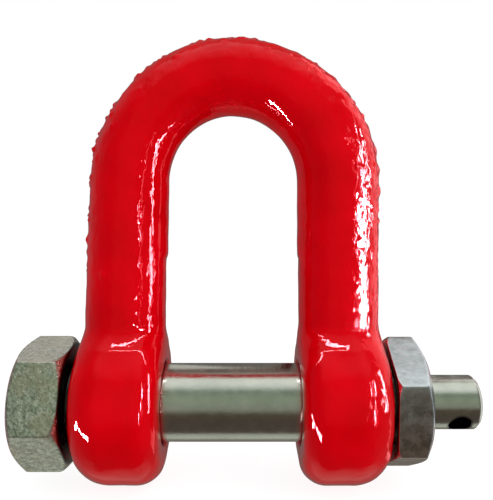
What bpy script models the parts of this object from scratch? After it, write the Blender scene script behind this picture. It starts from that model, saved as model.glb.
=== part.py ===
"""Dee shackle: a forged, painted bow whose two eyes carry a zinc-plated hexagon bolt and its thin nut.

The bow stands crown up. The origin is the saddle inside the crown, where a hook bears.
X runs along the bolt, from its head at -X to its nut at +X, and Y runs from front to back.
All sizes are in metres.
"""

import math

import bmesh
import bpy
from mathutils import Matrix, Vector

# Bow
BAR_RADIUS = 0.0126  # the legs, paint included
CROWN_BAR_RADIUS = 0.0119  # the bend draws the bar down a little
BEND_RADIUS = 0.0331  # the crown's centre line, and each leg's distance from the middle
INSIDE_LENGTH = 0.0900  # crown saddle to bolt axis
EYE_RADIUS = 0.0245
EYE_INNER_X = 0.0203
EYE_OUTER_X = 0.0475
EYE_BORE_RADIUS = 0.0130
OUTER_ROUND = (0.0112, 0.0100)  # along X and along the radius
INNER_ROUND = (0.0080, 0.0080)
NECK_FILLET = 0.0090
LEFT_LEAN = 0.0012  # the hand-forged bend isn't even: the left leg leans in by this much at its top
SHOULDER_FLAT = 0.0009  # and the left shoulder is a little flat outside
SHOULDER_DEG = 150.0  # where it is flattest, as an angle round the bend from the right leg
SHOULDER_SPREAD_DEG = 32.0  # it fades out below the bend

# Bolt
SHANK_RADIUS = 0.0120
ACROSS_FLATS = 0.0360
HEAD_BEARING_X = -0.0492
HEAD_HEIGHT = 0.0155
HEAD_CORNER_DEG = -13.0
THREAD_START_X = 0.0440
THREAD_END_X = 0.0598
TIP_RADIUS = 0.0083
TIP_X = 0.0761
TIP_CHAMFER = 0.0013
HEAD_CIRCLE_RADIUS = 0.0168  # where the chamfer meets the outer face
HEAD_BEARING_RADIUS = 0.0178
SHANK_LEAD = 0.0010  # the shank's chamfer down to its thread
PIN_HOLE_RADIUS = 0.0034
PIN_HOLE_X = 0.0695
PIN_HOLE_DEG = -43.0

# Nut
NUT_BEARING_X = 0.0478
NUT_HEIGHT = 0.0108
NUT_CORNER_DEG = 26.0
NUT_INNER_CIRCLE_RADIUS = 0.0195
NUT_OUTER_CIRCLE_RADIUS = 0.0164
MOUTH_RADIUS = 0.01255  # a 45 degree countersink at each end of its thread
MOUTH_DEPTH = 0.0025

# M24 thread, right hand
PITCH = 0.0030
CREST_RADIUS = 0.01185
ROOT_RADIUS = 0.01000
THREAD_GAP = 0.00035  # radial, between the bolt's thread and the nut's
THREAD_FLATS = (0.0, 1 / 4, 9 / 16, 11 / 16)  # shares of a pitch: the root's flat, then the crest's

# Worked out from the above
BOLT_Z = -INSIDE_LENGTH
BEND_Z = CROWN_BAR_RADIUS - BEND_RADIUS
CORNER_RADIUS = ACROSS_FLATS / math.sqrt(3)
FILLET_TOP = math.sqrt((EYE_RADIUS + NECK_FILLET) ** 2 - (BAR_RADIUS + NECK_FILLET) ** 2)
FILLET_FOOT = FILLET_TOP * EYE_RADIUS / (EYE_RADIUS + NECK_FILLET)
LEG_FOOT = 0.0040  # the leg's solid runs on inside its eye, to this height above the bolt's axis
CHAMFER_SLOPE = math.tan(math.radians(30))
CORE_RADIUS = ROOT_RADIUS - 0.0005  # the plain rod inside the bolt's thread
THREAD_TURNS = math.ceil((THREAD_END_X - THREAD_START_X) / PITCH) + 1

# Facets
BAR_SIDES = 40
TURN_STEPS = 64
THREAD_STEPS = 48
PIN_HOLE_SIDES = 32
SMOOTH_ANGLE = math.radians(35)
MERGE = 0.00001

# Cutters
OVERCUT = 0.0010  # how far one runs past the face that it cuts
OVERLAP = 0.0020  # how far one solid reaches into the next, where they join

Z_TO_X = Matrix.Rotation(math.radians(90), 4, "Y")


def clear_scene():
    for obj in list(bpy.data.objects):
        bpy.data.objects.remove(obj, do_unlink=True)


def new_collection(name):
    collection = bpy.data.collections.new(name)
    bpy.context.scene.collection.children.link(collection)
    return collection


def add_object(name, mesh, collection, at_x=0.0, at_z=BOLT_Z):
    obj = bpy.data.objects.new(name, mesh)
    obj.location = (at_x, 0.0, at_z)
    collection.objects.link(obj)
    if collection.name == "cutters":
        obj.hide_render = True
        obj.display_type = "WIRE"
    return obj


def finish_mesh(name, bm, turn=None):
    """A mesh from this bmesh, with its faces pointing out, turned by a matrix where one is given."""
    bmesh.ops.recalc_face_normals(bm, faces=bm.faces)
    mesh = bpy.data.meshes.new(name)
    bm.to_mesh(mesh)
    bm.free()
    if turn is not None:
        mesh.transform(turn)
    return mesh


def about_x(corner_deg):
    """Turns local Z onto X, and local +Y to this angle, counted from the front (-Y) up towards +Z."""
    return Matrix.Rotation(math.radians(180 - corner_deg), 4, "X") @ Z_TO_X


def turned(name, profile, collection, at_x=0.0):
    """A solid of revolution about X. The profile is (x, radius) from its +X end on the axis to its -X end."""
    mesh = bpy.data.meshes.new(name)
    points = [(radius, 0.0, x) for x, radius in profile]
    mesh.from_pydata(points, [(i, i + 1) for i in range(len(points) - 1)], [])
    obj = add_object(name, mesh, collection, at_x)
    obj.rotation_euler.y = math.radians(90)
    screw = obj.modifiers.new("turn", "SCREW")
    screw.axis = "Z"
    screw.steps = TURN_STEPS
    screw.render_steps = TURN_STEPS
    screw.use_merge_vertices = True
    screw.merge_threshold = MERGE
    return obj


def rod(name, radius, length, collection, at_x=0.0, turn=Z_TO_X, sides=TURN_STEPS):
    """A cylinder centred on the bolt's axis at this X. It lies along X unless a turn says otherwise."""
    bm = bmesh.new()
    bmesh.ops.create_cone(
        bm, cap_ends=True, segments=sides, radius1=radius, radius2=radius, depth=length
    )
    return add_object(name, finish_mesh(name, bm, turn), collection, at_x)


def combine(obj, operation, other):
    modifier = obj.modifiers.new(f"{operation.lower()} {other.name}", "BOOLEAN")
    modifier.operation = operation
    modifier.solver = "EXACT"
    modifier.object = other


def paint(obj, name, color, roughness, metallic):
    material = bpy.data.materials.new(name)
    material.use_nodes = True
    shader = material.node_tree.nodes["Principled BSDF"]
    shader.inputs["Base Color"].default_value = (*color, 1.0)
    shader.inputs["Roughness"].default_value = roughness
    shader.inputs["Metallic"].default_value = metallic
    obj.data.materials.append(material)


def shade(obj):
    """Smooth shading that still leaves the flat faces flat, those that the Booleans make included."""
    obj.data.shade_smooth()
    obj.data.set_sharp_from_angle(angle=SMOOTH_ANGLE)
    weighted = obj.modifiers.new("flat faces stay flat", "WEIGHTED_NORMAL")
    weighted.keep_sharp = True


# --- bow ---


def quarter_round(corner_x, corner_radius, size, start_deg, end_deg, steps=8):
    """Points (x, radius) on the elliptical quarter whose centre is this point."""
    points = []
    for step in range(steps + 1):
        angle = math.radians(start_deg + (end_deg - start_deg) * step / steps)
        x = corner_x + size[0] * math.cos(angle)
        points.append((x, corner_radius + size[1] * math.sin(angle)))
    return points


def eye(name, side, collection):
    """One eye: a barrel about the bolt's axis, its outer edge rounded more than its inner one."""
    outer = quarter_round(
        EYE_OUTER_X - OUTER_ROUND[0], EYE_RADIUS - OUTER_ROUND[1], OUTER_ROUND, 0, 90
    )
    inner = quarter_round(
        EYE_INNER_X + INNER_ROUND[0], EYE_RADIUS - INNER_ROUND[1], INNER_ROUND, 90, 180
    )
    profile = [(EYE_OUTER_X, 0.0), *outer, *inner, (EYE_INNER_X, 0.0)]
    if side < 0:
        profile = [(-x, radius) for x, radius in reversed(profile)]
    return turned(name, profile, collection)


def leg_half_depth(height):
    """Half the leg's size along Y at this height above the bolt's axis: a fillet spreads it to the eye."""
    drop = FILLET_TOP - max(height, FILLET_FOOT)
    if drop <= 0:
        return BAR_RADIUS
    return BAR_RADIUS + NECK_FILLET - math.sqrt(NECK_FILLET**2 - drop**2)


def leg_stations(side):
    """The leg's sections from inside its eye up to the bend: (centre, direction across, half sizes)."""
    top = BEND_Z - BOLT_Z
    heights = [LEG_FOOT]
    heights += [FILLET_FOOT + (FILLET_TOP - FILLET_FOOT) * step / 8 for step in range(9)]
    heights += [FILLET_TOP + (top - FILLET_TOP) * step / 9 for step in range(1, 9)]
    across = Vector((side, 0.0, 0.0))
    for height in heights:
        centre = Vector((side * BEND_RADIUS, 0.0, BOLT_Z + height))
        yield centre, across, BAR_RADIUS, leg_half_depth(height)


def crown_stations(steps=28):
    """The bend's sections from the left leg over to the right one."""
    for step in range(steps + 1):
        angle = math.pi * (1 - step / steps)
        across = Vector((math.cos(angle), 0.0, math.sin(angle)))
        radius = BAR_RADIUS + (CROWN_BAR_RADIUS - BAR_RADIUS) * math.sin(angle) ** 2
        yield Vector((0.0, 0.0, BEND_Z)) + BEND_RADIUS * across, across, radius, radius


def unevenness(point, outward):
    """How far forging moved a point of the bar. outward is 1 on the bow's outer side and -1 inside."""
    lean_top = BEND_Z - BOLT_Z - FILLET_TOP
    share = min(max((point.z - BOLT_Z - FILLET_TOP) / lean_top, 0.0), 1.0)
    side = min(max(-point.x / BEND_RADIUS, 0.0), 1.0)
    lean = Vector((LEFT_LEAN * share * side, 0.0, 0.0))
    above = max(point.z - BEND_Z, 0.0)
    angle = math.degrees(math.atan2(above, point.x))
    flat = SHOULDER_FLAT * math.exp(-(((angle - SHOULDER_DEG) / SHOULDER_SPREAD_DEG) ** 2))
    flat *= min(max(1 + (point.z - BEND_Z) / BEND_RADIUS, 0.0), 1.0)
    return lean - Vector((point.x, 0.0, above)).normalized() * (flat * max(outward, 0.0))


def bar_mesh(name):
    """The bent bar, lofted through elliptical sections from one eye to the other."""
    right = list(leg_stations(1))
    stations = [*leg_stations(-1), *crown_stations(), *reversed(right)]
    bm = bmesh.new()
    rings = []
    for centre, across, half_width, half_depth in stations:
        ring = []
        for side in range(BAR_SIDES):
            angle = 2 * math.pi * side / BAR_SIDES
            point = centre + across * (half_width * math.cos(angle))
            point.y += half_depth * math.sin(angle)
            ring.append(bm.verts.new(point + unevenness(point, math.cos(angle))))
        rings.append(ring)
    for ring, after in zip(rings, rings[1:], strict=False):
        for side in range(BAR_SIDES):
            other = (side + 1) % BAR_SIDES
            bm.faces.new((ring[side], ring[other], after[other], after[side]))
    bm.faces.new(rings[0])
    bm.faces.new(rings[-1])
    return finish_mesh(name, bm)


def make_bow(parts, cutters):
    bow = add_object("bow", bar_mesh("bow"), parts, at_z=0.0)
    combine(bow, "UNION", eye("left_eye", -1, cutters))
    combine(bow, "UNION", eye("right_eye", 1, cutters))
    bore_length = 2 * (EYE_OUTER_X + OVERCUT)
    combine(bow, "DIFFERENCE", rod("eye_bores", EYE_BORE_RADIUS, bore_length, cutters))
    paint(bow, "red_paint", (0.60, 0.004, 0.008), 0.15, 0.0)
    shade(bow)
    return bow


# --- hexagons and threads ---


def hexagon(name, low, high, corner_deg, collection, cutters):
    """A hexagon along X, with one corner at this angle and its ends chamfered at 30 degrees.

    low and high are its two end faces: each one's X, and the radius at which its chamfer starts.
    """
    (low_x, low_circle), (high_x, high_circle) = low, high
    bm = bmesh.new()
    bmesh.ops.create_cone(
        bm,
        cap_ends=True,
        segments=6,
        radius1=CORNER_RADIUS,
        radius2=CORNER_RADIUS,
        depth=high_x - low_x,
    )
    mesh = finish_mesh(name, bm, about_x(corner_deg))
    prism = add_object(name, mesh, collection, (low_x + high_x) / 2)
    rim = CORNER_RADIUS + OVERCUT
    profile = [
        (high_x + OVERCUT, 0.0),
        (high_x + OVERCUT, high_circle - OVERCUT / CHAMFER_SLOPE),
        (high_x - (rim - high_circle) * CHAMFER_SLOPE, rim),
        (low_x + (rim - low_circle) * CHAMFER_SLOPE, rim),
        (low_x - OVERCUT, low_circle - OVERCUT / CHAMFER_SLOPE),
        (low_x - OVERCUT, 0.0),
    ]
    combine(prism, "INTERSECT", turned(f"{name}_chamfers", profile, cutters))
    return prism


def thread_mesh(name, gap):
    """A closed right-hand threaded rod along X, its radii larger by the gap.

    The rows of points follow the helix, so a full turn joins each row to the one a pitch further on.
    """
    start_x = THREAD_START_X - PITCH
    radii = (ROOT_RADIUS, ROOT_RADIUS, CREST_RADIUS, CREST_RADIUS)
    rows = len(THREAD_FLATS)
    last = rows * THREAD_TURNS
    bm = bmesh.new()
    columns = []
    for step in range(THREAD_STEPS):
        angle = 2 * math.pi * step / THREAD_STEPS
        column = []
        for row in range(last + 1 + (rows if step == 0 else 0)):
            pitches = row // rows + THREAD_FLATS[row % rows] + step / THREAD_STEPS
            out = radii[row % rows] + gap
            point = (start_x + PITCH * pitches, out * math.cos(angle), out * math.sin(angle))
            column.append(bm.verts.new(point))
        columns.append(column)
    columns.append(columns[0][rows:])
    for column, after in zip(columns, columns[1:], strict=False):
        for row in range(last):
            bm.faces.new((column[row], column[row + 1], after[row + 1], after[row]))
    first = columns[0]
    low_loop = [column[0] for column in columns] + first[rows - 1 : 0 : -1]
    high_loop = [column[last] for column in columns] + first[last + rows - 1 : last : -1]
    for loop, x in ((low_loop, start_x), (high_loop, start_x + PITCH * (THREAD_TURNS + 1))):
        hub = bm.verts.new((x, 0.0, 0.0))
        for point, after in zip(loop, loop[1:] + loop[:1], strict=True):
            bm.faces.new((hub, point, after))
    return finish_mesh(name, bm)


# --- bolt ---


def make_bolt(parts, cutters):
    thread_lead = THREAD_END_X - 0.0006
    profile = [
        (TIP_X, 0.0),
        (TIP_X, TIP_RADIUS - TIP_CHAMFER),
        (TIP_X - TIP_CHAMFER, TIP_RADIUS),
        (thread_lead, TIP_RADIUS),
        (thread_lead - 0.0008, CORE_RADIUS),
        (THREAD_START_X, CORE_RADIUS),
        (THREAD_START_X, SHANK_RADIUS - SHANK_LEAD),
        (THREAD_START_X - SHANK_LEAD, SHANK_RADIUS),
        (HEAD_BEARING_X - OVERLAP, SHANK_RADIUS),
        (HEAD_BEARING_X - OVERLAP, 0.0),
    ]
    bolt = turned("hex_bolt", profile, parts)
    head_end = (HEAD_BEARING_X - HEAD_HEIGHT, HEAD_CIRCLE_RADIUS)
    bearing_end = (HEAD_BEARING_X, HEAD_BEARING_RADIUS)
    head = hexagon("head_hexagon", head_end, bearing_end, HEAD_CORNER_DEG, cutters, cutters)
    combine(bolt, "UNION", head)
    combine(bolt, "UNION", bolt_thread(cutters))
    turn = Matrix.Rotation(-math.radians(90 + PIN_HOLE_DEG), 4, "X")
    length = 2 * (TIP_RADIUS + OVERCUT)
    hole = rod("pin_hole", PIN_HOLE_RADIUS, length, cutters, PIN_HOLE_X, turn, PIN_HOLE_SIDES)
    combine(bolt, "DIFFERENCE", hole)
    paint(bolt, "zinc_bolt", (0.50, 0.52, 0.46), 0.3, 1.0)
    shade(bolt)
    return bolt


def bolt_thread(cutters):
    """The bolt's thread, cut off by a cone at its outer end and started inside the shank at the other."""
    thread = add_object("bolt_thread", thread_mesh("bolt_thread", 0.0), cutters)
    blank_radius = CREST_RADIUS + 0.0005
    inner_end_x = THREAD_START_X - 0.0014
    profile = [
        (THREAD_END_X, 0.0),
        (THREAD_END_X, ROOT_RADIUS - 0.0003),
        (THREAD_END_X - 0.0020, blank_radius),
        (inner_end_x, blank_radius),
        (inner_end_x, 0.0),
    ]
    combine(thread, "INTERSECT", turned("thread_blank", profile, cutters))
    return thread


# --- nut ---


def thread_mouth(name, face_x, inward, cutters):
    """The countersink that opens the nut's thread at one of its end faces."""
    wide = (face_x - inward * OVERCUT, MOUTH_RADIUS + OVERCUT)
    deep = (face_x + inward * MOUTH_DEPTH, MOUTH_RADIUS - MOUTH_DEPTH)
    profile = [(deep[0], 0.0), deep, wide, (wide[0], 0.0)]
    if inward < 0:
        profile.reverse()
    return turned(name, profile, cutters)


def make_nut(parts, cutters):
    outer_x = NUT_BEARING_X + NUT_HEIGHT
    bearing_end = (NUT_BEARING_X, NUT_INNER_CIRCLE_RADIUS)
    outer_end = (outer_x, NUT_OUTER_CIRCLE_RADIUS)
    nut = hexagon("hex_nut", bearing_end, outer_end, NUT_CORNER_DEG, parts, cutters)
    tap = add_object("nut_tap", thread_mesh("nut_tap", THREAD_GAP), cutters)
    combine(nut, "DIFFERENCE", tap)
    combine(nut, "DIFFERENCE", thread_mouth("inner_mouth", NUT_BEARING_X, 1, cutters))
    combine(nut, "DIFFERENCE", thread_mouth("outer_mouth", outer_x, -1, cutters))
    paint(nut, "zinc_nut", (0.62, 0.65, 0.68), 0.28, 1.0)
    shade(nut)
    return nut


def main():
    clear_scene()
    parts = new_collection("dee_shackle")
    cutters = new_collection("cutters")
    make_bow(parts, cutters)
    make_bolt(parts, cutters)
    make_nut(parts, cutters)


main()
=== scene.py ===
import math
import random

import bmesh
import bpy
import numpy as np
from mathutils import Matrix, Quaternion, Vector, noise


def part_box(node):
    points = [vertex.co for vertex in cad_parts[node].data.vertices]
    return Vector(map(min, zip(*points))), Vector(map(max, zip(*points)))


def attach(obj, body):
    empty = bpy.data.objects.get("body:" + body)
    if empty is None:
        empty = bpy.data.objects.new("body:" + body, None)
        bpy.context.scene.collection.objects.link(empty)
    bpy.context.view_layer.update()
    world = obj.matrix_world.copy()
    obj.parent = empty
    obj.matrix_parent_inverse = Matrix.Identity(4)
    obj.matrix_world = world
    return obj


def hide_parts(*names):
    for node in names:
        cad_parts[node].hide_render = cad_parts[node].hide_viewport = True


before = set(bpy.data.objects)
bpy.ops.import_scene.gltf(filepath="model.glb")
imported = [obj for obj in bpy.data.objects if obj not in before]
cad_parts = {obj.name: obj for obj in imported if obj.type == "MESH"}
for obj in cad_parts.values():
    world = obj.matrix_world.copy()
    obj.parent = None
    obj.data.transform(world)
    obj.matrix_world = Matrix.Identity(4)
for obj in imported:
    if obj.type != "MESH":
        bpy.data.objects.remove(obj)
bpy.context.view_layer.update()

# The object, in metres, read from the frame where its boxes give it
BOW_LOW, BOW_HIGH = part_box("bow")
BOLT_LOW, BOLT_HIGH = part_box("hex_bolt")
NUT_LOW, NUT_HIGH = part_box("hex_nut")
EYE_RADIUS = BOW_HIGH[1]
EYE_OUTER_X = BOW_HIGH[0]
CROWN_BAR_RADIUS = BOW_HIGH[2] / 2
BOLT_Z = BOW_LOW[2] + EYE_RADIUS
FLOOR_Z = BOW_LOW[2]

# The bow's other sizes, as the part has them
BAR_RADIUS = 0.0126
BEND_RADIUS = 0.0331
BEND_Z = CROWN_BAR_RADIUS - BEND_RADIUS
EYE_INNER_X = 0.0203
EYE_BORE_RADIUS = 0.0130
OUTER_ROUND = (0.0112, 0.0100)  # the eye's outer edge, along X and along the radius
INNER_ROUND = (0.0080, 0.0080)
NECK_FILLET = 0.0090
FILLET_TOP = math.sqrt((EYE_RADIUS + NECK_FILLET) ** 2 - (BAR_RADIUS + NECK_FILLET) ** 2)
FILLET_FOOT = FILLET_TOP * EYE_RADIUS / (EYE_RADIUS + NECK_FILLET)
LEFT_LEAN = 0.0012  # the left leg leans in by this much at its top
SHOULDER_FLAT = 0.0009  # and the left shoulder is a little flat outside
SHOULDER_DEG = 150.0
SHOULDER_SPREAD_DEG = 32.0
NECK_REACH = 0.0035  # how far the leg and the eye flow into each other
BORE_EDGE_REACH = 0.0012
FACE_REACH = 0.0020
INNER_FACE_TOP_Z = BOLT_Z + 0.045

# Bolt and nut
SHANK_RADIUS = 0.0120
ACROSS_FLATS = 0.0360
HEXAGON_RADIUS = ACROSS_FLATS / 2 / math.cos(math.radians(30))
HEAD_BEARING_X = -0.0492  # the head's face beside the eye
HEAD_CORNER_DEG = -13.0  # one of its corners, up from the camera's side
HEAD_CIRCLE_RADIUS = 0.0168  # the circle that the chamfer leaves on its outer face
HEAD_BEARING_RADIUS = 0.0178  # and on its bearing face
THREAD_START_X = 0.0440
THREAD_END_X = 0.0598
TIP_RADIUS = 0.0083
TIP_CHAMFER = 0.0013
SHANK_LEAD = 0.0010  # the chamfer between the shank and the thread
PIN_HOLE_RADIUS = 0.0034
PIN_HOLE_X = 0.0695
PIN_HOLE_DEG = -43.0  # its mouth, up from the camera's side
NUT_CORNER_DEG = 26.0
NUT_CIRCLE_RADII = (0.0195, 0.0164)  # on its inner and outer face
MOUTH_RADIUS = 0.01255  # of the nut's bore at both faces
PITCH = 0.0030
CREST_RADIUS = 0.01185
ROOT_RADIUS = 0.01000
THREAD_GAP = 0.00035  # between the bolt's thread and the nut's, on the radius
CHAMFER_SLOPE = math.tan(math.radians(30))
HEAD_EDGE_ROUND = 0.0004
NUT_EDGE_ROUND = 0.0005
ROWS_PER_PITCH = 24
CREASE_DEG = 40  # an edge that bends more than this is shaded sharp

# The bow's remesh, and the paint's slow waves and ripples, per metre and in metres
VOXEL = 0.00065
WAVES_PER_METRE = 190.0
WAVE_HEIGHT = 0.000130
RIPPLES_PER_METRE = (330.0, 560.0)
RIPPLE_HEIGHT = 0.000150


# --- shared helpers ---


def smooth_min(a, b, reach):
    """The smaller of two fields, which flow into each other where they differ by less than reach."""
    blend = np.maximum(reach - np.abs(a - b), 0.0) / reach
    return np.minimum(a, b) - blend * blend * reach / 4


def smooth_max(a, b, reach):
    return -smooth_min(-a, -b, reach)


def link(obj):
    bpy.context.scene.collection.objects.link(obj)
    return obj


def object_from(bm, name):
    """Turns a finished bmesh into a linked object."""
    mesh = bpy.data.meshes.new(name)
    bm.to_mesh(mesh)
    bm.free()
    return link(bpy.data.objects.new(name, mesh))


def apply_modifiers(obj):
    """Makes the object's evaluated form its mesh."""
    graph = bpy.context.evaluated_depsgraph_get()
    mesh = bpy.data.meshes.new_from_object(obj.evaluated_get(graph))
    obj.modifiers.clear()
    obj.data = mesh


def gather(name, obj):
    """Puts the object in a collection outside the scene, which some of the lights are for."""
    collection = bpy.data.collections.get(name) or bpy.data.collections.new(name)
    collection.objects.link(obj)


def gradient(field, points):
    """The field's slope at each point, by differences over a short step."""
    step = 0.00002
    slope = np.empty_like(points)
    for axis in range(3):
        shift = np.zeros(3)
        shift[axis] = step
        slope[:, axis] = (field(points + shift) - field(points - shift)) / (2 * step)
    return slope


def settle(points, field):
    """Moves the points onto the surface where the field is zero, by Newton steps of limited length."""
    longest = 0.0008
    for _ in range(8):
        slope = gradient(field, points)
        square = np.maximum((slope**2).sum(axis=1), 0.05)
        move = -slope * (field(points) / square)[:, None]
        length = np.linalg.norm(move, axis=1)
        points = points + move * np.minimum(1.0, longest / np.maximum(length, 1e-9))[:, None]
    return points


def points_of(mesh):
    points = np.empty(len(mesh.vertices) * 3, np.float64)
    mesh.vertices.foreach_get("co", points)
    return points.reshape(-1, 3)


def shade_smooth(mesh, sharp_deg=None):
    mesh.shade_smooth()
    if sharp_deg is not None:
        mesh.set_sharp_from_angle(angle=math.radians(sharp_deg))
    mesh.update()


# --- bow ---


def bar_field(x, y, z):
    """Distance to the bent bar. Its legs deepen into the necks and end at the bolt's height."""
    leg_length = BEND_Z - BOLT_Z - FILLET_TOP
    share = np.clip((z - BOLT_Z - FILLET_TOP) / leg_length, 0.0, 1.0)
    x = x - LEFT_LEAN * share * np.clip(-x / BEND_RADIUS, 0.0, 1.0)
    above = np.maximum(z - BEND_Z, 0.0)
    out = np.hypot(x, above)
    rise = above / np.maximum(out, 1e-9)
    radius = BAR_RADIUS + (CROWN_BAR_RADIUS - BAR_RADIUS) * rise**2
    angle = np.degrees(np.arctan2(above, x))
    flat = SHOULDER_FLAT * np.exp(-(((angle - SHOULDER_DEG) / SHOULDER_SPREAD_DEG) ** 2))
    flat *= np.clip(1.0 + (z - BEND_Z) / BEND_RADIUS, 0.0, 1.0)
    outward = np.clip((out - BEND_RADIUS) / BAR_RADIUS, 0.0, 1.0)
    drop = np.maximum(FILLET_TOP - np.maximum(z - BOLT_Z, FILLET_FOOT), 0.0)
    deepening = NECK_FILLET - np.sqrt(NECK_FILLET**2 - drop**2)
    depth = radius / (radius + deepening)
    reach = np.hypot(out - BEND_RADIUS, y * depth) - radius + flat * outward
    return np.maximum(reach, BOLT_Z - z)


def corner_field(along, out, limit, radius, size):
    """Distance to the elliptical round between a face at this limit and a barrel of this radius."""
    dx, dr = along - (limit - size[0]), out - (radius - size[1])
    px, pr = np.maximum(dx, 0.0), np.maximum(dr, 0.0)
    flat = np.maximum(dx - size[0], dr - size[1])
    reach = np.hypot(px, pr)
    scaled = np.hypot(px / size[0], pr / size[1])
    rounded = reach * (1 - 1 / np.maximum(scaled, 1e-6))
    # That fails near the middle of the round, deep inside, where the flat distance will do
    return np.where((dx > 0) | (dr > 0), np.where(scaled > 0.2, rounded, flat), flat)


def eye_field(x, out):
    """x is the distance from the bow's middle plane, and out the distance from the bolt's axis."""
    outer = corner_field(x, out, EYE_OUTER_X, EYE_RADIUS, OUTER_ROUND)
    inner = corner_field(-x, out, -EYE_INNER_X, EYE_RADIUS, INNER_ROUND)
    return np.maximum(outer, inner)


def bow_field(points):
    x, y, z = np.abs(points[:, 0]), points[:, 1], points[:, 2]
    out = np.hypot(y, z - BOLT_Z)
    body = smooth_min(bar_field(points[:, 0], y, z), eye_field(x, out), NECK_REACH)
    body = smooth_max(body, x - EYE_OUTER_X, FACE_REACH)
    inner_face = EYE_INNER_X - x - np.maximum(z - INNER_FACE_TOP_Z, 0.0)
    body = smooth_max(body, inner_face, FACE_REACH)
    return smooth_max(body, EYE_BORE_RADIUS - out, BORE_EDGE_REACH)


def on_bar(along_deg, around):
    """The point on the bar's surface at this angle round the bend, and past it down the leg."""
    angle = math.radians(min(max(along_deg, 0.0), 180.0))
    across = Vector((math.cos(angle), 0.0, math.sin(angle)))
    direction = across * math.cos(around) + Vector((0, -1, 0)) * math.sin(around)
    radius = BAR_RADIUS + (CROWN_BAR_RADIUS - BAR_RADIUS) * math.sin(angle) ** 2
    point = Vector((0, 0, BEND_Z)) + across * BEND_RADIUS + direction * radius
    point.z -= BEND_RADIUS * math.radians(max(along_deg - 180.0, -along_deg, 0.0))
    return np.array(point)


def paint_drops():
    """(centres, widths, heights) of the beads of dried paint on the bow's outer side."""
    rng = random.Random(7)
    centres, widths, heights = [], [], []

    def drop(along, around_deg, width, height):
        centres.append(on_bar(along, math.radians(around_deg)))
        widths.append(width)
        heights.append(height)

    # Small beads, scattered: first and last angle, how many, and the tallest
    for first, last, count, tallest in ((80, 236, 170, 0.00060), (-25, 80, 90, 0.00050)):
        for _ in range(count):
            along = rng.uniform(first, last)
            width = rng.uniform(0.00040, 0.00080)
            drop(along, rng.gauss(0, 24), width, tallest * rng.uniform(0.2, 1.0))
    # Single bigger ones on the right shoulder, then on the left one: angle and height
    for along, height in ((22, 0.0004), (13, 0.0006), (5, 0.0006), (-3, 0.0004), (33, 0.0003)):
        drop(along, rng.uniform(-6, 10), 0.0014, height)
    for along, height in ((163, 0.0006), (178, 0.0005), (190, 0.0004), (146, 0.0004)):
        drop(along, rng.uniform(-6, 10), 0.0009, height)
    return settle(np.array(centres), bow_field), widths, heights


def lumps(points, normals):
    """How far the paint stands proud at each point: slow waves, ripples outside, and beads."""
    x, z = points[:, 0], points[:, 2]
    above = np.maximum(z - BEND_Z, 0.0)
    out = np.maximum(np.hypot(x, above), 1e-9)
    outward = (normals[:, 0] * x + normals[:, 2] * above) / out
    # The ripples are strongest on the right leg's outer side
    right = np.clip(x / BEND_RADIUS, 0.0, 1.0)
    rough = np.clip(0.35 + 0.65 * outward, 0.0, 1.0) * (0.7 + 1.1 * right)
    rough *= np.clip((z - BOLT_Z - FILLET_FOOT) / FILLET_TOP, 0.25, 1.0)
    coarse, fine = RIPPLES_PER_METRE
    waves = np.empty(len(points))
    ripples = np.empty(len(points))
    for i, point in enumerate(points):
        p = Vector(point)
        waves[i] = noise.noise(p * WAVES_PER_METRE)
        ripples[i] = noise.noise(p * coarse) + 0.6 * noise.noise(p * fine)
    proud = WAVE_HEIGHT * waves + RIPPLE_HEIGHT * ripples * rough
    for centre, width, height in zip(*paint_drops(), strict=True):
        near = ((points - centre) ** 2).sum(axis=1)
        proud += height * np.exp(-near / (2 * width**2))
    return proud


def make_bow():
    """The part's bow in even faces, settled on its smooth form and then covered in thick paint."""
    bow = link(bpy.data.objects.new("painted_bow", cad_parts["bow"].data.copy()))
    remesh = bow.modifiers.new("even faces", "REMESH")
    remesh.mode = "VOXEL"
    remesh.voxel_size = VOXEL
    smooth = bow.modifiers.new("no steps", "SMOOTH")
    smooth.factor = 0.5
    smooth.iterations = 5
    apply_modifiers(bow)
    mesh = bow.data
    points = settle(points_of(mesh), bow_field)
    normals = gradient(bow_field, points)
    normals /= np.linalg.norm(normals, axis=1)[:, None]
    points = points + normals * lumps(points, normals)[:, None]
    mesh.vertices.foreach_set("co", points.astype(np.float32).ravel())
    shade_smooth(mesh)
    mesh.materials.clear()
    mesh.materials.append(red_paint())
    gather("painted", bow)
    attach(bow, "bow")
    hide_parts("bow")


# --- hexagons, threads and other forms about the bolt's axis ---


def hexagon_angles(corner_deg, edge_radius):
    """(angles, radii) round a hexagon with rounded corners. Angles count from -Y up towards +Z."""
    flat_steps, edge_steps = 24, 6
    apothem = ACROSS_FLATS / 2
    centre = (apothem - edge_radius) / math.cos(math.radians(30))
    flat_end = math.atan2((apothem - edge_radius) * math.tan(math.radians(30)), apothem)
    angles, radii = [], []
    for flat in range(6):
        middle = math.radians(corner_deg + 30 + 60 * flat)
        for step in range(flat_steps):
            turn = flat_end * (2 * step / flat_steps - 1)
            angles.append(middle + turn)
            radii.append(apothem / math.cos(turn))
        for step in range(edge_steps):
            turn = flat_end + (math.radians(60) - 2 * flat_end) * step / edge_steps
            side = math.radians(30) - turn
            angles.append(middle + turn)
            reach = math.sqrt(max(edge_radius**2 - (centre * math.sin(side)) ** 2, 0.0))
            radii.append(centre * math.cos(side) + reach)
    return np.array(angles), np.array(radii)


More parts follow.
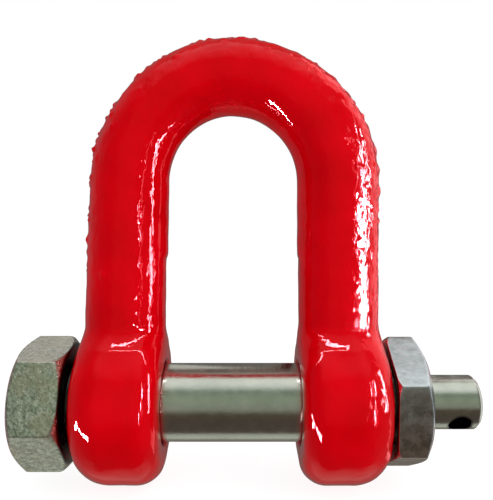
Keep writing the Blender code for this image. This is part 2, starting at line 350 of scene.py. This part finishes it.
def rounded_outline(corners, radii, spacing):
    """Rows of (x, radius) along an open outline with rounded corners, for every angle at once.

    corners is a list of (x, radius), each a number or an array over the angles. radii has the
    round of each corner between the two ends. spacing has the number of rows on each straight
    stretch, so it is one shorter than corners.
    """
    size = max(np.size(value) for corner in corners for value in corner)
    path = [np.stack([np.broadcast_to(v, size) for v in c], axis=1).astype(float) for c in corners]
    arcs = [corner_arc(*path[i : i + 3], radius) for i, radius in enumerate(radii)]
    rows = [path[0]]
    for count, arc in zip(spacing, [*arcs, [path[-1]]], strict=True):
        start, end = rows[-1], arc[0]
        for step in range(1, count + 1):
            rows.append(start + (end - start) * step / (count + 1))
        rows.extend(arc)
    return np.stack(rows)


def corner_arc(before, corner, after, radius):
    """The corner's round, as a parabola between the points where it leaves the two straights."""
    inward = before - corner
    onward = after - corner
    in_length = np.linalg.norm(inward, axis=1)[:, None]
    on_length = np.linalg.norm(onward, axis=1)[:, None]
    inward, onward = inward / in_length, onward / on_length
    opening = np.arccos(np.clip((inward * onward).sum(axis=1), -1, 1))[:, None]
    cut = radius / np.tan(opening / 2)
    cut = np.minimum(cut, 0.45 * np.minimum(in_length, on_length))
    start, end = corner + inward * cut, corner + onward * cut
    shares = (0.0, 0.25, 0.5, 0.75, 1.0)
    return [start * (1 - t) ** 2 + corner * 2 * t * (1 - t) + end * t**2 for t in shares]


def thread_radius(x, angles):
    """The right-hand thread's radius at each x and angle, the same helix as the part's."""
    # Shares of the pitch: where the crest's middle is, and half the width of the crest and its foot
    middle, half_crest, half_foot = 5 / 8, 1 / 16, 3 / 8
    turn = (math.pi - angles) / (2 * math.pi)
    phase = np.mod((x - THREAD_START_X) / PITCH - turn, 1.0)
    away = np.abs(np.mod(phase - middle + 0.5, 1.0) - 0.5)
    rise = np.clip((half_foot - away) / (half_foot - half_crest), 0.0, 1.0)
    return ROOT_RADIUS + (CREST_RADIUS - ROOT_RADIUS) * rise


def lathe(name, rows, angles, closed):
    """An object from rows[row, angle] = (x, radius). An open outline starts and ends on the axis."""
    bm = bmesh.new()
    cos, sin = np.cos(angles), np.sin(angles)
    grid = []
    for row in rows:
        if row[:, 1].max() < 1e-9:
            grid.append([bm.verts.new((row[0, 0], 0.0, BOLT_Z))])
            continue
        y, z = -row[:, 1] * cos, BOLT_Z + row[:, 1] * sin
        grid.append([bm.verts.new(point) for point in zip(row[:, 0], y, z, strict=True)])
    pairs = list(zip(grid, grid[1:], strict=False))
    if closed:
        pairs.append((grid[-1], grid[0]))
    for low, high in pairs:
        for i in range(len(angles)):
            j = (i + 1) % len(angles)
            corners = (low[i % len(low)], low[j % len(low)], high[j % len(high)], high[i % len(high)])
            bm.faces.new(list(dict.fromkeys(corners)))
    bmesh.ops.recalc_face_normals(bm, faces=bm.faces)
    return object_from(bm, name)


# --- bolt ---


def head_and_shank(hexagon):
    """Rows from the middle of the head's outer face to the start of the thread."""
    head_x = BOLT_LOW[0]
    drop = (hexagon - HEAD_CIRCLE_RADIUS) * CHAMFER_SLOPE
    bearing_drop = np.maximum(hexagon - HEAD_BEARING_RADIUS, 0.0) * CHAMFER_SLOPE + 0.0002
    corners = [
        (head_x, 0.0),
        (head_x, HEAD_CIRCLE_RADIUS),
        (head_x + drop, hexagon),
        (HEAD_BEARING_X - bearing_drop, hexagon),
        (HEAD_BEARING_X, np.minimum(hexagon - 0.0002, HEAD_BEARING_RADIUS)),
        (HEAD_BEARING_X, SHANK_RADIUS),
        (THREAD_START_X - SHANK_LEAD, SHANK_RADIUS),
        (THREAD_START_X, SHANK_RADIUS - SHANK_LEAD),
    ]
    rounds = (0.0010, 0.0008, 0.0030, 0.0010, 0.0005, 0.0004)
    return rounded_outline(corners, rounds, (14, 1, 18, 1, 4, 60, 1))


def bolt_thread(angles):
    """Rows along the thread, which a cone runs out at its end."""
    rows = []
    for x in np.arange(THREAD_START_X + 0.0002, THREAD_END_X - 0.00005, PITCH / ROWS_PER_PITCH):
        end_cone = ROOT_RADIUS - 0.0003 + (THREAD_END_X - x)
        radius = np.minimum(thread_radius(x, angles), end_cone)
        rows.append(np.stack([np.full(len(angles), x), radius], axis=1))
    return np.stack(rows)


def plain_end(angles):
    """Rows from the end of the thread to the middle of the bolt's end face."""
    tip_x = BOLT_HIGH[0]
    corners = [
        (THREAD_END_X, ROOT_RADIUS - 0.0004),
        (THREAD_END_X + 0.0001, TIP_RADIUS),
        (tip_x - TIP_CHAMFER, TIP_RADIUS),
        (tip_x, TIP_RADIUS - TIP_CHAMFER),
        (tip_x, 0.0),
    ]
    rows = rounded_outline(corners, (0.0003, 0.0006, 0.0004), (1, 30, 2, 8))
    return np.broadcast_to(rows, (len(rows), len(angles), 2))


def make_bolt():
    angles, hexagon = hexagon_angles(HEAD_CORNER_DEG, HEAD_EDGE_ROUND)
    rows = np.concatenate([head_and_shank(hexagon), bolt_thread(angles), plain_end(angles)])
    bolt = lathe("plated_bolt", rows, angles, closed=False)
    cut_pin_hole(bolt)
    shade_smooth(bolt.data, CREASE_DEG)
    bolt.data.materials.clear()
    bolt.data.materials.append(zinc_bolt())
    gather("bolt", bolt)
    gather("plated", bolt)
    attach(bolt, "bolt")
    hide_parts("hex_bolt")


def cut_pin_hole(bolt):
    """Drills the split pin's hole, its edges broken, straight through the bolt's plain end."""
    past = 0.001  # how far the cutter stands out of the bolt
    lip = 0.0004
    profile = [
        (TIP_RADIUS + past, PIN_HOLE_RADIUS + past + lip),
        (TIP_RADIUS - lip, PIN_HOLE_RADIUS),
        (-TIP_RADIUS + lip, PIN_HOLE_RADIUS),
        (-TIP_RADIUS - past, PIN_HOLE_RADIUS + past + lip),
    ]
    bm = bmesh.new()
    steps = 48
    rings = []
    for along, radius in profile:
        ring = []
        for step in range(steps):
            angle = 2 * math.pi * step / steps
            ring.append(bm.verts.new((radius * math.cos(angle), radius * math.sin(angle), along)))
        rings.append(ring)
    for low, high in zip(rings, rings[1:], strict=False):
        for i in range(steps):
            bm.faces.new((low[i], low[(i + 1) % steps], high[(i + 1) % steps], high[i]))
    bm.faces.new(rings[0])
    bm.faces.new(rings[-1])
    bmesh.ops.recalc_face_normals(bm, faces=bm.faces)
    cutter = object_from(bm, "pin_hole")
    turn = Matrix.Rotation(-math.radians(90 + PIN_HOLE_DEG), 4, "X")
    cutter.matrix_world = Matrix.Translation((PIN_HOLE_X, 0.0, BOLT_Z)) @ turn
    cut = bolt.modifiers.new("pin hole", "BOOLEAN")
    cut.operation = "DIFFERENCE"
    cut.solver = "EXACT"
    cut.object = cutter
    apply_modifiers(bolt)
    bpy.data.objects.remove(cutter, do_unlink=True)


# --- nut ---


def nut_outside(hexagon):
    """Rows from the bore's inner mouth round the outside to its outer mouth."""
    inner_x, outer_x = NUT_LOW[0], NUT_HIGH[0]
    inner_circle, outer_circle = NUT_CIRCLE_RADII
    inner_drop = np.maximum(hexagon - inner_circle, 0.0) * CHAMFER_SLOPE
    outer_drop = (hexagon - outer_circle) * CHAMFER_SLOPE
    corners = [
        (inner_x, MOUTH_RADIUS),
        (inner_x, np.minimum(hexagon - 0.0002, inner_circle)),
        (inner_x + inner_drop + 0.0001, hexagon),
        (outer_x - outer_drop, hexagon),
        (outer_x, outer_circle),
        (outer_x, MOUTH_RADIUS),
    ]
    return rounded_outline(corners, (0.0004, 0.0004, 0.0008, 0.0009), (4, 0, 14, 1, 4))


def nut_bore(angles):
    """Rows back through the bore: the bolt's thread with a gap, flared to a mouth at both faces."""
    inner_x, outer_x = NUT_LOW[0], NUT_HIGH[0]
    rows = []
    for x in np.arange(outer_x - 0.0001, inner_x, -PITCH / ROWS_PER_PITCH):
        flare = MOUTH_RADIUS - min(outer_x - x, x - inner_x)
        radius = np.maximum(thread_radius(x, angles) + THREAD_GAP, flare)
        rows.append(np.stack([np.full(len(angles), x), radius], axis=1))
    return np.stack(rows)


def make_nut():
    angles, hexagon = hexagon_angles(NUT_CORNER_DEG, NUT_EDGE_ROUND)
    rows = np.concatenate([nut_outside(hexagon), nut_bore(angles)])
    nut = lathe("plated_nut", rows, angles, closed=True)
    shade_smooth(nut.data, CREASE_DEG)
    nut.data.materials.append(zinc_nut())
    gather("plated", nut)
    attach(nut, "nut")
    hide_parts("hex_nut")


# --- materials ---


class Nodes:
    """A short way to write a node tree."""

    def __init__(self, tree):
        self.tree = tree

    def add(self, kind, operation=None, **settings):
        node = self.tree.nodes.new(kind)
        if operation:
            node.operation = operation
        for name, value in settings.items():
            setattr(node, name, value)
        return node

    def put(self, socket, value):
        """The value is another node's socket, a plain value, or a colour of three numbers."""
        if isinstance(value, bpy.types.NodeSocket):
            self.tree.links.new(value, socket)
        elif socket.type == "RGBA":
            socket.default_value = (*value, 1.0)
        else:
            socket.default_value = value

    def feed(self, node, **inputs):
        for name, value in inputs.items():
            self.put(node.inputs[name.replace("_", " ")], value)

    def math(self, operation, *values):
        node = self.add("ShaderNodeMath", operation)
        for socket, value in zip(node.inputs, values, strict=False):
            self.put(socket, value)
        return node.outputs[0]

    def vector_math(self, operation, *values, output="Vector"):
        node = self.add("ShaderNodeVectorMath", operation)
        for socket, value in zip(node.inputs, values, strict=False):
            self.put(socket, value)
        return node.outputs[output]

    def coordinates(self, kind="Object"):
        return self.add("ShaderNodeTexCoord").outputs[kind]

    def split(self, vector):
        node = self.add("ShaderNodeSeparateXYZ")
        self.feed(node, Vector=vector)
        return node.outputs

    def noise(self, vector, scale, detail=3.0, roughness=0.5, distortion=0.0):
        node = self.add("ShaderNodeTexNoise")
        self.feed(node, Vector=vector, Scale=scale, Detail=detail)
        self.feed(node, Roughness=roughness, Distortion=distortion)
        return node.outputs["Fac"]

    def stretch(self, vector, scale):
        node = self.add("ShaderNodeMapping")
        self.feed(node, Vector=vector, Scale=scale)
        return node.outputs["Vector"]

    def remap(self, value, low, high, to_low, to_high):
        node = self.add("ShaderNodeMapRange")
        self.feed(node, Value=value, From_Min=low, From_Max=high, To_Min=to_low, To_Max=to_high)
        return node.outputs["Result"]

    def ramp(self, value, stops):
        node = self.add("ShaderNodeValToRGB")
        elements = node.color_ramp.elements
        while len(elements) < len(stops):
            elements.new(0.5)
        for element, (position, color) in zip(elements, stops, strict=True):
            element.position = position
            element.color = (*color, 1.0)
        self.feed(node, Fac=value)
        return node.outputs["Color"]

    def mix(self, factor, first, second):
        node = self.add("ShaderNodeMix", data_type="RGBA")
        # The colour version of the node has its factor, colours and result at these places
        for index, value in ((0, factor), (6, first), (7, second)):
            self.put(node.inputs[index], value)
        return node.outputs[2]

    def bump(self, height, strength, distance, normal=None):
        node = self.add("ShaderNodeBump")
        self.feed(node, Height=height, Strength=strength, Distance=distance)
        if normal is not None:
            self.feed(node, Normal=normal)
        return node.outputs["Normal"]


def new_material(name):
    """Returns (material, nodes, shader)."""
    material = bpy.data.materials.new(name)
    material.use_nodes = True
    shader = material.node_tree.nodes["Principled BSDF"]
    return material, Nodes(material.node_tree), shader


def red_paint():
    """Thick glossy enamel over a forging: wavy everywhere, rippled on the right leg's outer side."""
    material, nodes, shader = new_material("red_paint")
    place = nodes.coordinates()
    axes = nodes.split(place)
    patches = nodes.noise(place, 70.0, detail=2.0)
    shades = [(0.30, (0.58, 0.0, 0.003)), (0.55, (0.65, 0.0, 0.004)), (0.75, (0.71, 0.0, 0.005))]
    color = nodes.ramp(patches, shades)
    # Ripples come in towards the right leg's outer side, above the eye
    outer = nodes.remap(axes["X"], BEND_RADIUS, EYE_OUTER_X - 0.004, 0.28, 1.0)
    on_leg = nodes.remap(axes["Z"], BOLT_Z + FILLET_FOOT, BOLT_Z + FILLET_TOP, 0.3, 1.0)
    ripple = nodes.noise(nodes.stretch(place, (1.0, 1.0, 0.6)), 450.0, detail=0.8, distortion=0.7)
    ripple = nodes.math("MULTIPLY", nodes.math("MULTIPLY", ripple, outer), on_leg)
    rippled = nodes.bump(ripple, 1.0, 0.00050)
    orange_peel = nodes.noise(place, 1500.0, detail=1.0)
    normal = nodes.bump(orange_peel, 0.15, 0.00003, rippled)
    # The outer side is a little less glossy too
    roughness = nodes.remap(nodes.noise(place, 260.0), 0.3, 0.7, 0.02, 0.05)
    dull = nodes.remap(axes["X"], BEND_RADIUS, EYE_OUTER_X - 0.006, 0.0, 0.07)
    roughness = nodes.math("ADD", roughness, dull)
    nodes.feed(shader, Base_Color=color, Roughness=roughness, Normal=normal)
    nodes.feed(shader, IOR=1.5, Specular_Tint=(1.0, 0.2, 0.25))
    return material


def zinc(nodes, place, color, roughness_range, contrast):
    """Shared by the plated pieces: cloudy tint and roughness. Returns (tint, roughness)."""
    mottle = nodes.noise(place, 300.0, detail=4.0, roughness=0.6)
    clouds = nodes.noise(place, 60.0, detail=2.0)
    blend = nodes.math("MULTIPLY", nodes.math("ADD", mottle, clouds), 0.5)
    low = tuple((1 - contrast) * c for c in color)
    high = tuple(min(1.0, (1 + contrast) * c) for c in color)
    tint = nodes.ramp(blend, [(0.38, low), (0.52, color), (0.66, high)])
    return tint, nodes.remap(mottle, 0.3, 0.7, *roughness_range)


def head_mottle_and_painted_highlight(nodes, place, height):
    """The head's (colour, strength): a green and brown forging tone, with near-white spots that are
    painted highlight, strongest on the flat that faces the camera.
    """
    grain = nodes.noise(place, 900.0, detail=3.0, roughness=0.6, distortion=0.8)
    greens = [(0.36, (0.34, 0.38, 0.29)), (0.50, (0.62, 0.69, 0.56)), (0.62, (0.98, 1.00, 0.88))]
    brown = nodes.remap(nodes.noise(place, 120.0, detail=2.0), 0.46, 0.60, 0.0, 0.45)
    color = nodes.mix(brown, nodes.ramp(grain, greens), (0.70, 0.60, 0.42))
    # Painted highlight: the spotting is strongest on the flat that faces the camera and weaker on the
    # top flat.
    foot = BOLT_Z + HEXAGON_RADIUS * math.sin(math.radians(HEAD_CORNER_DEG))
    top = BOLT_Z + HEXAGON_RADIUS * math.sin(math.radians(HEAD_CORNER_DEG + 60))
    over = nodes.remap(height, top - 0.0012, top + 0.0004, 0.85, 0.35)
    under = nodes.remap(height, foot - 0.0011, foot - 0.0001, 0.60, 1.0)
    return color, nodes.math("MULTIPLY", over, under)


def pin_hole_painted_shade(nodes, place):
    """How dark each point is painted, as shade in and round the pin's hole, by its distance from the
    hole's axis.
    """
    angle = math.radians(PIN_HOLE_DEG)
    from_middle = nodes.vector_math("SUBTRACT", place, (PIN_HOLE_X, 0.0, BOLT_Z))
    across = nodes.vector_math("CROSS_PRODUCT", from_middle, (0.0, -math.cos(angle), math.sin(angle)))
    away = nodes.vector_math("LENGTH", across, output="Value")
    return nodes.remap(away, PIN_HOLE_RADIUS, PIN_HOLE_RADIUS + 0.0008, 1.0, 0.0)


def gap_painted_shade(nodes, along):
    """How black each point is painted, as shade in the narrow gap between the head and the eye."""
    past = nodes.remap(along, HEAD_BEARING_X - 0.0007, HEAD_BEARING_X - 0.0002, 0.0, 1.0)
    before = nodes.remap(along, -EYE_OUTER_X, -EYE_OUTER_X + 0.0006, 1.0, 0.0)
    return nodes.math("MULTIPLY", nodes.math("MULTIPLY", past, before), 0.93)


def zinc_bolt():
    """Greenish passivated zinc: a forged, mottled head with painted highlight on its front flat,
    painted shade in the pin's hole and in the gap by the eye, and turned rings on the round lengths.
    """
    material, nodes, shader = new_material("zinc_bolt")
    place = nodes.coordinates()
    axes = nodes.split(place)
    on_head = nodes.math("LESS_THAN", axes["X"], HEAD_BEARING_X - 0.0004)
    tint, roughness = zinc(nodes, place, (0.60, 0.63, 0.55), (0.14, 0.24), 0.10)
    # The head's forging tone, with painted highlight on the flat that faces the camera.
    mottle, strength = head_mottle_and_painted_highlight(nodes, place, axes["Z"])
    color = nodes.mix(nodes.math("MULTIPLY", on_head, strength), tint, mottle)
    # Painted shade: the pin's hole and its lip are coloured near-black.
    color = nodes.mix(pin_hole_painted_shade(nodes, place), color, (0.035, 0.032, 0.028))
    # Painted shade: the narrow gap between the head and the eye is coloured near-black.
    color = nodes.mix(gap_painted_shade(nodes, axes["X"]), color, (0.012, 0.010, 0.010))
    hammered = nodes.noise(place, 650.0, detail=3.0, roughness=0.6, distortion=0.8)
    depth = nodes.remap(on_head, 0.0, 1.0, 0.10, 1.0)
    forged = nodes.bump(nodes.math("MULTIPLY", hammered, depth), 1.0, 0.00030)
    rings = nodes.noise(nodes.stretch(place, (1.0, 0.03, 0.03)), 2400.0, detail=3.0, roughness=0.6)
    turned = nodes.bump(rings, 0.6, 0.00003, forged)
    nicks = nodes.noise(nodes.stretch(place, (0.2, 1.0, 1.0)), 1400.0, detail=2.0)
    normal = nodes.bump(nicks, 0.15, 0.00003, turned)
    rough = nodes.math("ADD", roughness, nodes.math("MULTIPLY", on_head, 0.10))
    nodes.feed(shader, Base_Color=color, Metallic=1.0, Roughness=rough, Normal=normal)
    return material


def zinc_nut():
    """Bluish zinc over ground flats with fine lines across them, with a painted brown reflection and
    stains lower down.
    """
    material, nodes, shader = new_material("zinc_nut")
    place = nodes.coordinates()
    height = nodes.split(place)["Z"]
    tint, roughness = zinc(nodes, place, (0.72, 0.78, 0.81), (0.16, 0.28), 0.11)
    lines = nodes.noise(nodes.stretch(place, (1.0, 0.04, 0.04)), 1900.0, detail=3.0, roughness=0.6)
    waves = nodes.noise(place, 380.0, detail=2.0)
    soft = nodes.bump(waves, 0.7, 0.00008)
    normal = nodes.bump(lines, 0.5, 0.00003, soft)
    # Painted reflection: the nut's lower half is tinted brown.
    painted_low_reflection = nodes.remap(height, BOLT_Z - 0.018, BOLT_Z + 0.001, 0.75, 0.0)
    color = nodes.mix(painted_low_reflection, tint, (0.66, 0.47, 0.36))
    blotches = nodes.noise(place, 420.0, detail=4.0, roughness=0.6)
    stains = nodes.remap(blotches, 0.42, 0.60, 0.0, 0.55)
    below = nodes.remap(height, BOLT_Z + 0.002, BOLT_Z + 0.006, 1.0, 0.25)
    color = nodes.mix(nodes.math("MULTIPLY", stains, below), color, (0.20, 0.21, 0.17))
    nodes.feed(shader, Base_Color=color, Metallic=1.0, Roughness=roughness, Normal=normal)
    return material


# --- studio ---

CAMERA_X = 0.0030
CAMERA_DISTANCE = 0.183  # from the bolt's axis
CAMERA_ABOVE_BOLT = 0.0477
LENS = 41.9
CENTRE = Vector((0.0, 0.0, -0.045))  # what the lights face unless they have a target of their own
FLOOR_RADIUS = 6.0
FLOOR_GAP = 0.0004

# The room that gloss sees, in degrees from the camera's side (0) up over the object or under it (-)
UP_AND_OVER = (
    (-180, (0.13, 0.13, 0.13)),
    (-145, (0.20, 0.18, 0.16)),
    (-122, (0.25, 0.24, 0.22)),
    (-114, (0.58, 0.60, 0.54)),
    (-93, (0.46, 0.47, 0.43)),
    (-85, (0.10, 0.08, 0.07)),
    (-50, (0.09, 0.07, 0.06)),
    (-22, (0.10, 0.075, 0.055)),
    (-8, (0.30, 0.31, 0.27)),
    (20, (0.33, 0.38, 0.30)),
    (44, (0.24, 0.28, 0.23)),
    (58, (0.80, 0.84, 0.82)),
    (70, (1.00, 1.00, 1.00)),
    (98, (0.90, 0.93, 0.90)),
    (108, (0.22, 0.15, 0.14)),
    (140, (0.18, 0.15, 0.14)),
    (180, (0.13, 0.13, 0.13)),
)
# Far off to one side it is this instead, from the camera's side round by the right or the left (-)
ROUND_ABOUT = (
    (-180, (0.28, 0.10, 0.11)),
    (-140, (0.34, 0.17, 0.19)),
    (-120, (0.30, 0.24, 0.25)),
    (-60, (0.12, 0.12, 0.12)),
    (0, (0.16, 0.15, 0.13)),
    (60, (0.18, 0.18, 0.18)),
    (88, (0.16, 0.16, 0.16)),
    (135, (0.16, 0.12, 0.12)),
    (155, (0.50, 0.18, 0.19)),
    (180, (0.40, 0.15, 0.16)),
)

# The small lights low on each eye's left: azimuth, elevation, size and roll, from the middle one
PATCHES = (
    (-15, 8, (0.010, 0.008), 30),
    (0, 0, (0.004, 0.012), 35),
    (13, -9, (0.011, 0.007), -30),
)


def make_camera():
    camera = bpy.data.cameras.new("camera")
    camera.lens = LENS
    camera.sensor_width = 36.0
    camera.shift_x = 0.01
    camera.clip_start = 0.01
    camera.clip_end = 50.0
    obj = link(bpy.data.objects.new("camera", camera))
    obj.location = (CAMERA_X, -CAMERA_DISTANCE, BOLT_Z + CAMERA_ABOVE_BOLT)
    obj.rotation_euler = (math.radians(90), 0.0, 0.0)
    bpy.context.scene.camera = obj


def make_floor():
    """Nearly white by its own light, so that the object's shadow on it is faint."""
    bm = bmesh.new()
    bmesh.ops.create_circle(bm, cap_ends=True, segments=64, radius=FLOOR_RADIUS)
    floor = object_from(bm, "floor")
    floor.location.z = FLOOR_Z - FLOOR_GAP
    floor.visible_glossy = False
    floor.visible_diffuse = False
    material, nodes, shader = new_material("pale_floor")
    nodes.feed(shader, Base_Color=(0.20, 0.20, 0.20), Roughness=0.9, Specular_IOR_Level=0.0)
    nodes.feed(shader, Emission_Color=(1.0, 1.0, 1.0), Emission_Strength=0.90)
    floor.data.materials.append(material)


def make_flag():
    """A dark card behind the throat, unseen, that keeps the rim light off the left leg's inside."""
    near, far = 0.0135, 0.060  # along Y, behind the legs
    low, high = BOLT_Z + 0.014, BEND_Z + 0.014
    bm = bmesh.new()
    bmesh.ops.create_grid(bm, x_segments=1, y_segments=1, size=0.5)
    flag = object_from(bm, "flag")
    flag.scale = (high - low, far - near, 1.0)
    flag.rotation_euler = (0.0, math.radians(90), 0.0)
    flag.location = (EYE_INNER_X, (near + far) / 2, (low + high) / 2)
    flag.visible_camera = False
    flag.visible_diffuse = False
    material, nodes, shader = new_material("dark_card")
    nodes.feed(shader, Base_Color=(0.10, 0.0, 0.0), Roughness=0.9, Specular_IOR_Level=0.0)
    flag.data.materials.append(material)


def make_world():
    """White to the camera and even for diffuse light. Gloss sees a room, bright overhead, instead."""
    world = bpy.data.worlds.new("studio")
    bpy.context.scene.world = world
    world.use_nodes = True
    nodes = Nodes(world.node_tree)
    ray = nodes.add("ShaderNodeLightPath").outputs
    x, y, z = nodes.split(nodes.coordinates("Generated"))
    toward_camera = nodes.math("MULTIPLY", y, -1.0)

    def room_by_angle(side, rows):
        turn = nodes.math("DIVIDE", nodes.math("ARCTAN2", side, toward_camera), 2 * math.pi)
        stops = [((degrees + 180) / 360, color) for degrees, color in rows]
        return nodes.ramp(nodes.math("ADD", turn, 0.5), stops)

    sideways = nodes.add("ShaderNodeMapRange", interpolation_type="SMOOTHSTEP")
    nodes.feed(sideways, Value=nodes.math("ABSOLUTE", x), From_Min=0.38, From_Max=0.68)
    up_and_over, round_about = room_by_angle(z, UP_AND_OVER), room_by_angle(x, ROUND_ABOUT)
    room = nodes.mix(sideways.outputs["Result"], up_and_over, round_about)
    lit = nodes.mix(ray["Is Camera Ray"], (0.77, 0.77, 0.77), (1.0, 1.0, 1.0))
    seen = nodes.mix(ray["Is Glossy Ray"], lit, room)
    nodes.feed(world.node_tree.nodes["Background"], Color=seen, Strength=1.0)


def area_light(name, azimuth, elevation, size, radiance, distance=1.0, target=CENTRE, roll=0):
    """A rectangle that faces its target. Azimuth counts from the camera's side (-Y) towards +X."""
    light = bpy.data.lights.new(name, "AREA")
    light.shape = "RECTANGLE"
    light.size, light.size_y = size
    light.energy = radiance * size[0] * size[1] * math.pi
    obj = link(bpy.data.objects.new(name, light))
    a, e = math.radians(azimuth), math.radians(elevation)
    back = Vector((math.sin(a) * math.cos(e), -math.cos(a) * math.cos(e), math.sin(e)))
    obj.location = Vector(target) + back * distance
    obj.rotation_mode = "QUATERNION"
    obj.rotation_quaternion = back.to_track_quat("Z", "Y") @ Quaternion((0, 0, 1), math.radians(roll))
    obj.visible_camera = False
    return obj


def only_reflected(light, collection, spread=180):
    """The light shows only as a highlight on one collection. Its spread narrows its beam."""
    light.data.spread = math.radians(spread)
    light.visible_diffuse = False
    light.light_linking.receiver_collection = bpy.data.collections[collection]


def light_paint():
    """The streaks and spots on the bow, each from lights of its own, and its pink rim."""
    strip = area_light("right_strip", 80, 10, (0.12, 0.72), 60, roll=-8)
    only_reflected(strip, "painted")
    # Tubes close to the right leg, turned so that neither the left leg nor the eye reflects them
    for step in range(3):
        beside_leg = (0.0544, 0.0167, -0.047 + 0.030 * step)
        tube = area_light(f"tube_{step}", 42, -15, (0.031, 0.036), 120, 0.070, beside_leg)
        only_reflected(tube, "painted", spread=68)
    only_reflected(area_light("faint_strip", 47, 8, (0.05, 0.60), 6), "painted")
    inner_crown = (0.015, -0.009, -0.001)
    low_bar = area_light("low_bar", -56, -41, (0.15, 0.013), 36, 0.2, inner_crown, roll=-26)
    only_reflected(low_bar, "painted", spread=26)
    # Small patches close to each eye, low on its left
    for side, across in (("left", -0.0411), ("right", 0.0241)):
        for part, (swing, climb, size, roll) in enumerate(PATCHES):
            name = f"{side}_patch_{part}"
            spot = (across, -0.021, BOLT_Z - 0.002)
            patch = area_light(name, -61 + swing, -24 + climb, size, 22, 0.05, spot, roll)
            only_reflected(patch, "painted", spread=70)
    # A bar just in front of the legs that shines straight down on the eyes' shoulders
    above = (-0.003, -0.0245, BOLT_Z)
    shoulder = area_light("shoulder", 0, 90, (0.096, 0.003), 24, distance=0.075, target=above)
    only_reflected(shoulder, "painted", spread=100)
    # Small lights that stay on one eye each, for the upright streak down its corner
    for side, across, azimuth, climb in (("left", -0.028, 36, 0.5), ("right", 0.038, 41, 0.4)):
        for step in range(3):
            elevation = -8 + 16 * step
            swing = azimuth + climb * elevation
            near = (across, 0.0, BOLT_Z)
            size = (0.008, 0.07)
            spot = area_light(f"{side}_corner_{step}", swing, elevation, size, 5, 0.3, near)
            only_reflected(spot, "painted", spread=20)
    rim = area_light("rim", 116, 12, (0.74, 2.20), 2.3)
    rim.data.color = (1.0, 0.34, 0.36)
    only_reflected(rim, "painted")


def light_zinc():
    """Soft light on the head's top, on the far sides and on the bolt's plain end."""
    only_reflected(area_light("over_head", -155, 38, (0.60, 0.55), 0.50), "bolt")
    only_reflected(area_light("far_side", 116, 12, (0.74, 2.20), 0.70), "plated")
    tip_end = (0.0685, 0.0, BOLT_Z)
    tip = area_light("over_tip", 180, 58, (0.03, 0.05), 1.90, 0.12, tip_end)
    only_reflected(tip, "bolt", spread=40)


def make_lights():
    key = area_light("key", 48, 35, (0.9, 0.9), 2.6, distance=1.2)
    key.visible_glossy = False
    light_paint()
    light_zinc()


def main():
    make_bow()
    make_bolt()
    make_nut()
    make_camera()
    make_floor()
    make_flag()
    make_world()
    make_lights()
    bpy.context.scene.view_settings.view_transform = "Standard"


main()
